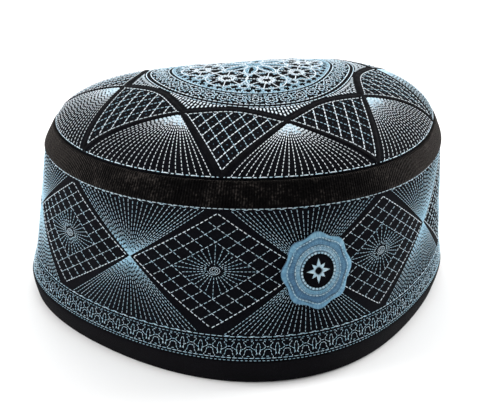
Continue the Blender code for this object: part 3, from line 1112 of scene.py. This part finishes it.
def lace_gap(turn, share):
    """How deep a place is inside a dark opening of the medallion's lace, below 0 on the thread."""
    across = petal_place(turn, share, 0.0)
    side = petal_place(turn, share, 0.5)
    spread = np.hypot(share - FLOWER_PLACE, side)
    spin = np.arctan2(side, share - FLOWER_PLACE)
    cell = np.mod(spin / (2 * np.pi) * FLOWER_HOLES, 1.0) - 0.5
    ring = lens(spread - HOLE_RING, cell * 2 * np.pi / FLOWER_HOLES * spread, 0.027, 0.022)
    eye = 1 - np.hypot(share - FLOWER_PLACE, side) / 0.015
    vein = lens(share - 0.105, across, 0.050, 0.009)
    beside = lens(share - 0.125, np.abs(across) - 0.050, 0.034, 0.013)
    knot = 1 - np.hypot(share - KNOT_PLACE, across) / 0.011
    wings = lens(share - KNOT_PLACE - 0.012, np.abs(across) - 0.048, 0.020, 0.015)
    under = lens(share - 0.218, across, 0.026, 0.015)
    fringe = np.mod(turn * PETALS * FRINGE, 1.0) - 0.5
    outer = lens(share - 0.361, fringe * 2 * np.pi / (PETALS * FRINGE) * share, 0.013, 0.014)
    return np.max(np.stack([ring, eye, vein, beside, knot, wings, under, outer]), axis=0)


def lace_tint(turn, share, gap):
    """White in the flowers and beside the openings, light blue in the leaves and elsewhere."""
    across = petal_place(turn, share, 0.0)
    spread = np.hypot(share - FLOWER_PLACE, petal_place(turn, share, 0.5))
    flower = 1 - smooth_step(spread, 0.8 * FLOWER_CORE, 1.4 * FLOWER_CORE)
    leaf = 1 - smooth_step(np.abs(across), 0.6 * LEAF_HALF, LEAF_HALF)
    leaf = leaf * (1 - smooth_step(share, LEAF[1] - 0.01, LEAF[1] + 0.01))
    rim = 1 - smooth_step(-gap, 0.1, 0.8)
    return 0.54 + 0.38 * flower - 0.14 * leaf + 0.32 * rim


def medallion_lace():
    """The lace of the medallion: close short stitches left out over its dark openings."""
    rows = np.arange(0.012, ROSETTE_RING - 0.006, LACE_ROW)
    count = np.maximum((2 * np.pi * rows / LACE_PITCH).astype(int), 6)
    share = np.repeat(rows, count)
    order = np.arange(count.sum()) - np.repeat(np.cumsum(count) - count, count)
    turn = (order + 0.6 * CHANCE.random(len(order))) / np.repeat(count, count)
    gap = lace_gap(turn, share)
    keep = gap < LACE_EDGE
    turn, share, gap = turn[keep], share[keep], gap[keep]
    starts, ends = disc(turn, share - 0.0052), disc(turn + 0.0010, share + 0.0052)
    tint = lace_tint(turn, share, gap) + 0.16 * (CHANCE.random(len(turn)) - 0.5)
    return straight(starts, ends, tint, 1.30 * THREAD)


def loops(turn, share, size):
    """Round loops on the crown's disc, one about each turn, at a share and of a size."""
    spin = np.linspace(0, 2 * np.pi, 48)
    heart, out, side = spread_at(turn, share)
    return heart[:, None] + size * (out[:, None] * np.cos(spin)[None, :, None]
                                    + side[:, None] * np.sin(spin)[None, :, None])


def lace_outlines():
    """White cords round the flowers, between their holes, along the leaves and round the knots."""
    petals = np.arange(PETALS)
    flowers, leaves = (petals + 0.5) / PETALS, petals / PETALS
    rows = [(loops(flowers, FLOWER_PLACE, FLOWER_CORE), 1.5),
            (loops(flowers, FLOWER_PLACE, FLOWER_EDGE), 1.5),
            (loops(leaves, KNOT_PLACE, KNOT_EDGE), 1.3)]
    heart, out, side = spread_at(flowers, FLOWER_PLACE)
    for hole in range(FLOWER_HOLES):
        spin = 2 * np.pi * (hole + 0.5) / FLOWER_HOLES
        ray = out * np.cos(spin) + side * np.sin(spin)
        rows.append((between(heart + FLOWER_CORE * ray, heart + FLOWER_EDGE * ray, 8), 1.2))
    way = np.linspace(0, 1, 20)
    share = LEAF[0] + (LEAF[1] - LEAF[0]) * way
    for half in (-LEAF_HALF, LEAF_HALF):
        bend = half * np.sin(np.pi * way) ** 0.8 / share / (2 * np.pi)
        rows.append((disc(leaves[:, None] + bend[None], np.broadcast_to(share, (PETALS, 20))), 1.5))
    return join([dressed(sew(crown_cloth, lines, 1.4 * MM, 0.97), 0.90, 0.09, width * THREAD)
                 for lines, width in rows])


def stitched_piece(name, cloth, group, material, step, height=THREAD_HEIGHT, lift=0.0):
    """One piece of embroidery."""
    add_piece(name, thread_mesh(name, cloth, group, height, step, lift), material)


def strip_mesh(name, cloth, paths, width, height, step):
    """Raised strips: a half-round profile of seven points carried along each path on the cloth."""
    profile = np.linspace(0, np.pi, 7)
    across, up = -np.cos(profile) * 0.5 * width, np.sin(profile) * height - 0.05 * MM
    places = cloth(paths)
    out = normals(cloth, paths, step)
    ahead = np.gradient(places, axis=1)
    side = np.cross(ahead, out)
    side /= np.linalg.norm(side, axis=-1, keepdims=True)
    points = (places[:, :, None] + side[:, :, None] * across[None, None, :, None]
              + out[:, :, None] * up[None, None, :, None])
    lines, count, wide = points.shape[:3]
    line, along, place = np.meshgrid(np.arange(lines), np.arange(count - 1), np.arange(wide), indexing="ij")
    line, along, place = line.ravel(), along.ravel(), place.ravel()
    beside = (place + 1) % wide
    first = (line * count + along) * wide
    quads = np.stack([first + place, first + beside, first + wide + beside, first + wide + place], -1)
    row = (line + along / (count - 1)) / lines
    after = (line + (along + 1) / (count - 1)) / lines
    low, high = place / wide, (place + 1) / wide
    spots = np.stack([np.stack([row, row, after, after], -1), np.stack([low, high, high, low], -1)], -1)
    foot = np.arange(lines)[:, None] * count * wide
    caps = np.concatenate([foot + np.arange(wide)[::-1], foot + (count - 1) * wide + np.arange(wide)])
    cap_row = np.stack([np.full(wide, 0.5), np.linspace(0, 1, wide)], -1)
    spots = np.concatenate([spots.reshape(-1, 2), np.tile(cap_row, (len(caps), 1))])
    return make_mesh(name, points.reshape(-1, 3), [quads, caps], spots)


def star_bands():
    """Eight bands of the star, each from a tip over a kite's inner corner to the next tip but one."""
    cross, tip = disc(0.5 / REPEATS, APEX), disc(1.0 / REPEATS, STAR_TIP)
    mirror = np.array([-1.0, 1.0])
    bend = rounded([cross, disc(0.0, KITE_CORNER), cross * mirror], BOW, 20)
    ways = between(cross[None], tip[None], 40)[0]
    path = np.concatenate([ways[::-1][:-1], bend[:-1], ways * mirror])
    return turned(path, centres())


def patch_mesh():
    """Body of the patch: a scalloped disc with a rounded edge, on the wall, a little crowned."""
    turn = 2 * np.pi * np.arange(192) / 192
    share = np.sin(0.5 * np.pi * np.linspace(0, 1, 20))
    share[0] = 0.002
    reach = PATCH_RADIUS + PATCH_LOBE_DEPTH * np.cos(PATCH_LOBES * turn)
    place = polar(turn, share[:, None] * reach)
    under = patch_cloth(place)
    out = normals(patch_cloth, place, FLAT)
    thick = PATCH * (PATCH_FACE + 0.05 * np.cos(share * 9)) * np.clip(1 - share ** 14, 0, 1) ** 0.5
    top = under + out * thick[:, None, None]
    return round_slab("badge_patch", np.concatenate([top, under[::-1][1:]]))


def patch_top(place):
    """Top face of the patch, from (x, z)."""
    return patch_cloth(place) + normals(patch_cloth, place, FLAT) * PATCH * PATCH_FACE


def polar(turn, radius):
    """Places on the patch at an angle and a distance from its middle."""
    return np.stack([radius * np.cos(turn), radius * np.sin(turn)], -1)


EYE_RADIUS = 6.6 * MM

# Satin rings: from and to, in millimetres, the number of stitches and their tint
SATIN_RINGS = ((7.3, 9.4, 110, 0.62), (9.5, 12.3, 150, 0.30), (12.2, 14.3, 190, 0.46))

# Rings round the eye: radius, whether a cord or a row of dark stitches that paint the shade in needle holes,
# width in threads, tint
PATCH_CORDS = (
    (EYE_RADIUS + 0.25 * MM, True, 2.2, 0.72),
    (8.4 * MM, False, 0.7, 0.02),
    (9.45 * MM, True, 1.1, 0.75),
    (10.5 * MM, False, 0.7, 0.01),
    (11.4 * MM, False, 0.7, 0.02),
    (12.25 * MM, True, 1.2, 0.72),
)


def patch_stitches():
    """Satin rings of the patch: radial stitches in three rings and an overcast edge."""
    groups = []
    for low, high, count, base in SATIN_RINGS:
        turn = 2 * np.pi * (np.arange(count) + 0.5) / count
        lobe = 1 + 0.05 * np.cos(PATCH_LOBES * turn) * (high > 12.0)
        starts = polar(turn, np.full(count, low * MM))
        ends = polar(turn + 0.03, high * MM * lobe)
        # Painted light: the 0.08 sine term makes each ring paler towards its upper side and deeper on the
        # lower.
        tint = base + 0.22 * CHANCE.random(count) + 0.08 * np.sin(turn + 0.6)
        groups.append(straight(starts, ends, tint, 1.25 * THREAD))
    return join(groups)


def patch_rings():
    """Pale cords, and rows of dark stitches that paint the shade in needle holes, of the patch: round its
    dark eye and on its satin rings.
    """
    spin = np.linspace(0, 2 * np.pi, 160)
    groups = []
    for radius, cord, width, base in PATCH_CORDS:
        lobe = 1 + 0.03 * np.cos(PATCH_LOBES * spin) * (radius > 11 * MM)
        pitch, fill, spread = (1.4 * MM, 0.98, 0.2) if cord else (0.8 * MM, 0.42, 0.06)
        sewn = sew(patch_top, polar(spin, radius * lobe)[None], pitch, fill)
        groups.append(dressed(sewn, base, spread, width * THREAD))
    return join(groups)


def patch_star():
    """A plain eight-pointed star in the eye: two crossed sets of satin stitches."""
    points = []
    for index in range(8):
        turn = 2 * np.pi * index / 8
        reach = 5.0 * MM if index % 2 == 0 else 3.9 * MM
        ahead, side = polar(np.array(turn), 1.0), polar(np.array(turn + 0.5 * np.pi), 1.0)
        for offset in np.linspace(-0.85, 0.85, 5):
            foot = ahead * 1.1 * MM + side * offset * MM
            tip = ahead * reach * (1 - 0.25 * abs(offset)) + side * offset * 0.2 * MM
            points.append((foot, tip))
    points = np.array(points)
    return straight(points[:, 0], points[:, 1], 0.80 + 0.18 * CHANCE.random(len(points)), 1.05 * THREAD)


def eye_mesh():
    """Dark eye of the patch: a low disc on its top face."""
    turn = 2 * np.pi * np.arange(96) / 96
    radius = np.linspace(0.01, 1, 6) * EYE_RADIUS
    place = polar(turn[None, :], radius[:, None])
    out = normals(patch_cloth, place, FLAT)
    top, bottom = patch_top(place) + out * 0.12 * MM, patch_top(place) - out * 0.2 * MM
    return round_slab("patch_eye", np.concatenate([top, bottom[::-1]]))


def satin_ground():
    """Light blue satin under the patch's stitches."""
    finish = Finish("patch_satin", 0.5, specular=0.4, sheen=0.15)
    u = finish.place(1.0, 1.0)[0]
    threads = (u * (2 * math.pi * 180)).sine()
    finish.colour(finish.ramp(
        threads * 0.5 + 0.5, (0.2, (0.025, 0.075, 0.14)), (0.8, (0.08, 0.20, 0.32))))
    finish.relief(threads, 0.15 * MM)
    return finish.material


def add_cloth():
    """The five cloth pieces, in place of the plain solids, and the dark eye on the patch."""
    wall = black_cotton("wall_cotton", *WALL_MAP)
    crown = black_cotton("crown_cotton", *CROWN_MAP)
    tape = ribbed_cotton(*TAPE_MAP)
    binding = black_cotton("binding_cotton", *BINDING_MAP, (0.0034, 0.0032, 0.0044), 0.85)
    for name, profile, columns, cotton, node in (
            ("wall_cloth", wall_profile(), 512, wall, "side_wall"),
            ("crown_cloth", crown_profile(), 384, crown, "crown"),
            ("tape_cloth", tape_profile(), 512, tape, "seam_band"),
            ("binding_cloth", binding_profile(), 512, binding, "hem_band")):
        add_piece(name, ring_shell(name, profile, columns), cotton, node)
    add_piece("patch_body", patch_mesh(), satin_ground(), "badge_patch")
    add_piece("patch_eye", eye_mesh(), black_cotton("eye_cotton", *EYE_MAP))


def add_embroidery():
    """All thread work, one piece for each part of the pattern."""
    thread = embroidery_thread("white_blue_thread", *WHITE_TO_BLUE)
    pale = embroidery_thread("patch_thread", *PATCH_BLUES)
    for name, group in (
            ("diamond_grids", wall_diamonds()),
            ("diamond_bursts", wall_bursts()),
            ("upper_fans", wall_fan(WALL_LINE - 0.6 * MM, True)),
            ("lower_fans", wall_fan(BORDER_TOP + 0.5 * MM, False)),
            ("border_scrolls", wall_border()),
            ("wall_lines", wall_lines())):
        stitched_piece(name, wall_cloth, group, thread, NEAR)
    for name, group in (
            ("crown_kites", crown_kites()),
            ("crown_seeds", crown_seeds()),
            ("crown_fans", crown_fans()),
            ("crown_comb", crown_comb()),
            ("crown_rings", crown_rings()),
            ("ring_rosettes", ring_rosettes()),
            ("medallion_lace", medallion_lace())):
        stitched_piece(name, crown_cloth, group, thread, NEAR)
    stitched_piece("lace_outlines", crown_cloth, lace_outlines(), thread, NEAR, 0.45 * MM, 0.15 * MM)
    bands = strip_mesh("star_bands", crown_cloth, star_bands(), BAND_WIDTH, 0.42 * MM, NEAR)
    add_piece("star_bands", bands, black_satin())
    for name, group, height, lift in (
            ("patch_satin", patch_stitches(), 0.4 * MM, 0.0),
            ("patch_rings", patch_rings(), 0.5 * MM, 0.15 * MM),
            ("patch_star", patch_star(), 0.45 * MM, 0.15 * MM)):
        stitched_piece(name, patch_top, group, pale, FLAT, height, lift)


def add_camera():
    """Camera at the photograph's angle, turned by small pan, tilt and roll."""
    spot = Vector((0, -CAMERA_DISTANCE * math.cos(CAMERA_ELEVATION),
                   CAMERA_LOOK_HEIGHT + CAMERA_DISTANCE * math.sin(CAMERA_ELEVATION)))
    ahead = (Vector((0, 0, CAMERA_LOOK_HEIGHT)) - spot).normalized()
    right = Vector((1, 0, 0))
    ahead = (ahead + CAMERA_PAN * right + CAMERA_TILT * right.cross(ahead)).normalized()
    right = ahead.cross(Vector((0, 0, 1))).normalized()
    up = right.cross(ahead)
    rolled_right = math.cos(CAMERA_ROLL) * right + math.sin(CAMERA_ROLL) * up
    rolled_up = rolled_right.cross(-ahead) * -1
    basis = Matrix((rolled_right, rolled_up, -ahead)).transposed()
    round_up = Matrix.Rotation(CAMERA_AZIMUTH, 3, "Z")
    data = bpy.data.cameras.new("camera")
    data.lens = CAMERA_LENS
    data.sensor_width = 36.0
    data.clip_start = 0.01
    camera = bpy.data.objects.new("camera", data)
    bpy.context.scene.collection.objects.link(camera)
    camera.matrix_world = (round_up @ basis).to_4x4()
    camera.location = round_up @ spot - Vector(CENTRE)
    bpy.context.scene.camera = camera


def add_light(name, kind, spot, target, power):
    """A lamp at a spot that faces a target."""
    data = bpy.data.lights.new(name, kind)
    data.energy = power
    light = bpy.data.objects.new(name, data)
    bpy.context.scene.collection.objects.link(light)
    light.location = spot
    light.rotation_euler = (Vector(target) - Vector(spot)).to_track_quat("-Z", "Y").to_euler()
    return data


def add_stage():
    """Pale floor, pale surroundings and soft lights."""
    mesh = bpy.data.meshes.new("floor")
    corners = [(-FLOOR, -FLOOR, 0), (FLOOR, -FLOOR, 0), (FLOOR, FLOOR, 0), (-FLOOR, FLOOR, 0)]
    mesh.from_pydata(corners, [], [(0, 1, 2, 3)])
    floor = bpy.data.objects.new("floor", mesh)
    bpy.context.scene.collection.objects.link(floor)
    finish = Finish("floor_white", 0.9, specular=0.1)
    finish.colour((0.95, 0.95, 0.95))
    mesh.materials.append(finish.material)
    world = bpy.data.worlds.new("room")
    world.use_nodes = True
    world.node_tree.nodes["Background"].inputs[0].default_value = (1.0, 1.0, 1.0, 1.0)
    world.node_tree.nodes["Background"].inputs[1].default_value = ROOM_LIGHT
    bpy.context.scene.world = world
    add_light("overhead", "SUN", (0.05, 0.35, 1.0), (0, 0, 0), SUN_LIGHT).angle = math.radians(90)
    for name, spot, size, power in SIDE_LIGHTS:
        add_light(name, "AREA", spot, (0, 0, 0.05), power).size = size
    bpy.context.scene.view_settings.view_transform = "Standard"


add_cloth()
add_embroidery()
add_camera()
add_stage()
